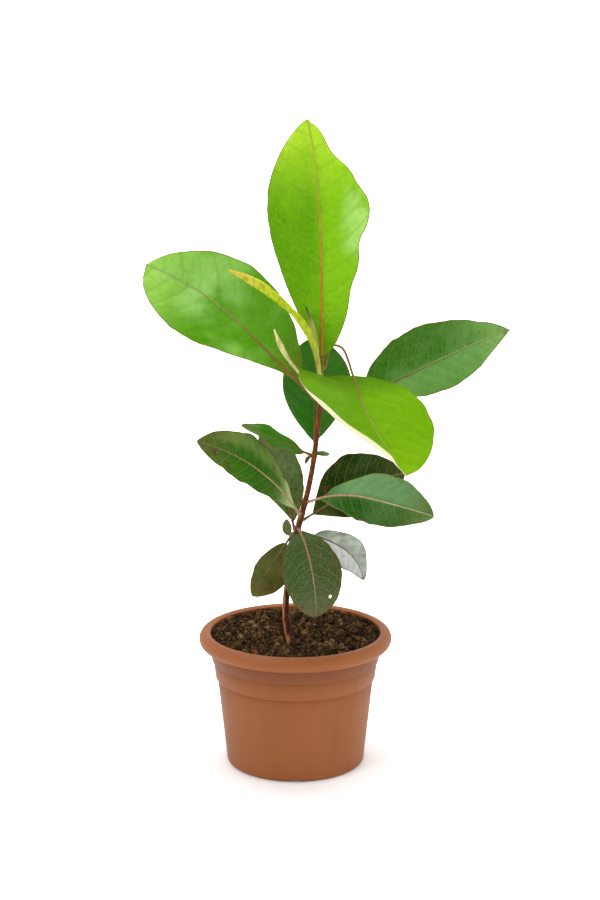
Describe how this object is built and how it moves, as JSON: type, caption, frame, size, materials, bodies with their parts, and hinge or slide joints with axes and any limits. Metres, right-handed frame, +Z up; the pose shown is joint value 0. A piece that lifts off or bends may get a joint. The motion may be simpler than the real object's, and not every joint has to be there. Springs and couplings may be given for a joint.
{
  "type": "potted sea almond tree",
  "caption": "Young sea almond sapling with broad obovate leaves on one slender upright stem, standing in a round tapered pot of soil with a rolled rim.",
  "frame": {"origin": "centre of the pot's flat underside, on the surface that the pot stands on", "axes": "+Z up along the pot's axis, -Y towards the front of the plant, +X to the right seen from the front"},
  "size_m": [0.3709, 0.216, 0.6701],
  "materials": {
    "pot_plastic": "satin",
    "potting_soil": "matte",
    "bark": "matte",
    "leaf_bright_green": "satin",
    "leaf_mid_green": "satin",
    "leaf_dark_green": "satin",
    "leaf_blue_green": "satin",
    "leaf_olive": "satin",
    "leaf_silver_green": "satin",
    "young_leaf_yellow": "satin",
    "bud_cream": "satin"
  },
  "bodies": {
    "root": {"pot": "pot_plastic", "soil": "potting_soil", "stem_with_roots": "bark", "leaf_top": "leaf_bright_green", "leaf_upper_left": "leaf_mid_green", "leaf_upper_front": "leaf_bright_green", "leaf_upper_right": "leaf_dark_green", "leaf_upper_back": "leaf_dark_green", "leaf_middle_left_front": "leaf_mid_green", "leaf_middle_left_back": "leaf_blue_green", "leaf_middle_left_small": "leaf_dark_green", "leaf_middle_right_back": "leaf_olive", "leaf_middle_right_front": "leaf_blue_green", "leaf_lower_front": "leaf_blue_green", "leaf_lower_right": "leaf_silver_green", "leaf_lower_left": "leaf_olive", "leaf_lower_back_tiny": "leaf_silver_green", "young_leaf_rolled": "young_leaf_yellow", "bud_pale": "bud_cream", "bud_dark": "leaf_mid_green", "petiole_stub": "leaf_dark_green", "bud_scale": "leaf_olive"}
  },
  "joints": []
}
